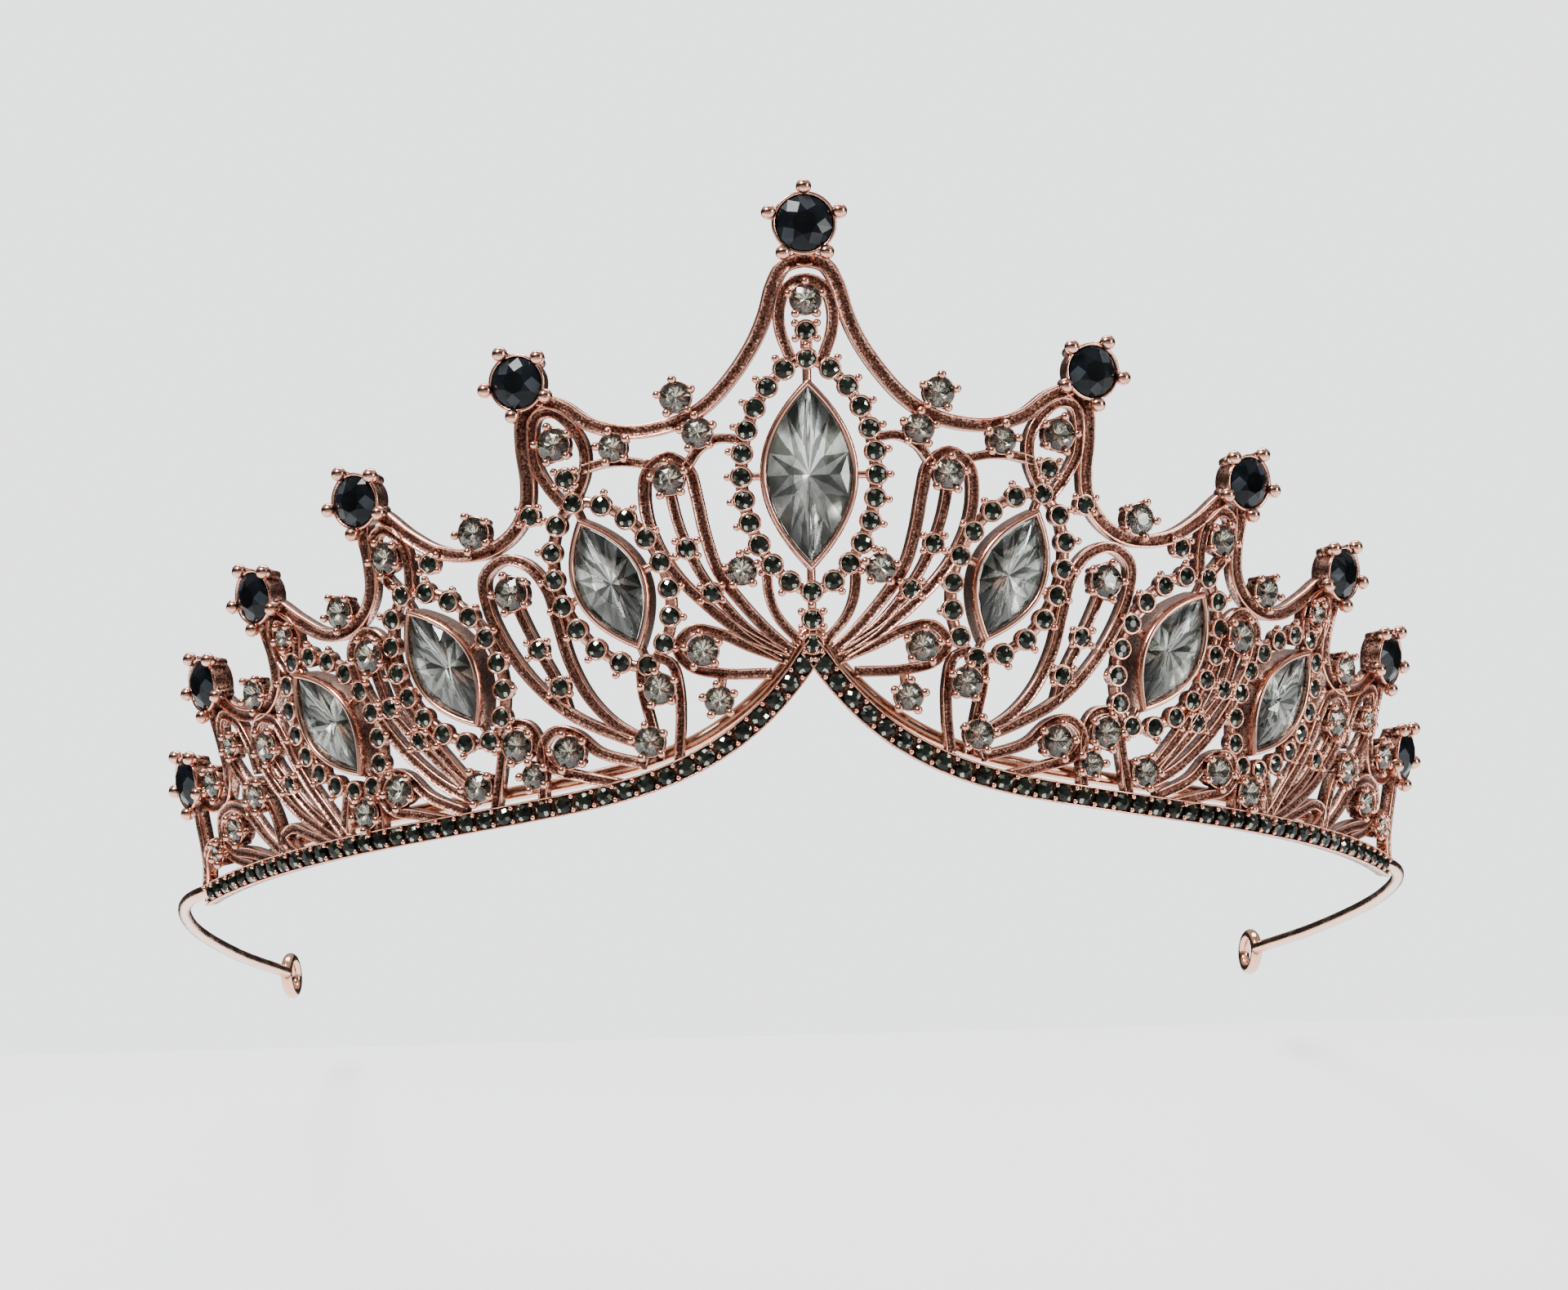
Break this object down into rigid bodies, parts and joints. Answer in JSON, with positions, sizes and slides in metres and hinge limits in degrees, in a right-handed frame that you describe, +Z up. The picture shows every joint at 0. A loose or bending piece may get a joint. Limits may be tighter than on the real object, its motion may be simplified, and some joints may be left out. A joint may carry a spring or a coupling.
{
  "type": "bridal tiara",
  "caption": "Openwork cast tiara front with peaked crest, pointed-oval and round stones in settings, on a headband wire with end loops.",
  "frame": {"origin": "middle of the footprint, on the level plane that the base band stands on", "axes": "+Z up, -Y out of the crown's front, +Y towards the end loops, X across the head"},
  "size_m": [0.1534, 0.1702, 0.0663],
  "materials": {
    "copper_casting": "antique rose-gold plate, polished edges with dark patina in the recesses",
    "copper_wire": "bright polished copper-coloured wire",
    "jet_crystal": "polished faceted black glass",
    "grey_crystal": "polished faceted smoke-grey crystal with a mirrored back",
    "champagne_crystal": "polished faceted pale champagne crystal with a mirrored back"
  },
  "bodies": {
    "root": {"crown_casting": "copper_casting", "headband_wire": "copper_wire", "jet_stone_centre": "jet_crystal", "jet_stone_left_1": "jet_crystal", "jet_stone_left_2": "jet_crystal", "jet_stone_left_3": "jet_crystal", "jet_stone_left_4": "jet_crystal", "jet_stone_left_5": "jet_crystal", "jet_stone_right_1": "jet_crystal", "jet_stone_right_2": "jet_crystal", "jet_stone_right_3": "jet_crystal", "jet_stone_right_4": "jet_crystal", "jet_stone_right_5": "jet_crystal", "marquise_centre": "grey_crystal", "marquise_left_1": "grey_crystal", "marquise_left_2": "grey_crystal", "marquise_left_3": "grey_crystal", "marquise_right_1": "grey_crystal", "marquise_right_2": "grey_crystal", "marquise_right_3": "grey_crystal", "round_stone_centre": "champagne_crystal", "round_stone_crest_1_left": "champagne_crystal", "round_stone_crest_1_right": "champagne_crystal", "round_stone_crest_2_left": "champagne_crystal", "round_stone_crest_2_right": "champagne_crystal", "round_stone_crest_3_left": "champagne_crystal", "round_stone_crest_3_right": "champagne_crystal", "round_stone_crest_4_left": "champagne_crystal", "round_stone_crest_4_right": "champagne_crystal", "round_stone_crest_5_left": "champagne_crystal", "round_stone_crest_5_right": "champagne_crystal", "round_stone_leaf_1_left": "champagne_crystal", "round_stone_leaf_1_right": "champagne_crystal", "round_stone_leaf_2_left": "champagne_crystal", "round_stone_leaf_2_right": "champagne_crystal", "round_stone_leaf_3_left": "champagne_crystal", "round_stone_leaf_3_right": "champagne_crystal", "round_stone_leaf_4_left": "champagne_crystal", "round_stone_leaf_4_right": "champagne_crystal", "round_stone_peak_1_left": "champagne_crystal", "round_stone_peak_1_right": "champagne_crystal", "round_stone_peak_2_left": "champagne_crystal", "round_stone_peak_2_right": "champagne_crystal", "round_stone_petal_1_left": "champagne_crystal", "round_stone_petal_1_right": "champagne_crystal", "round_stone_petal_2_left": "champagne_crystal", "round_stone_petal_2_right": "champagne_crystal", "round_stone_petal_3_left": "champagne_crystal", "round_stone_petal_3_right": "champagne_crystal"}
  },
  "joints": []
}
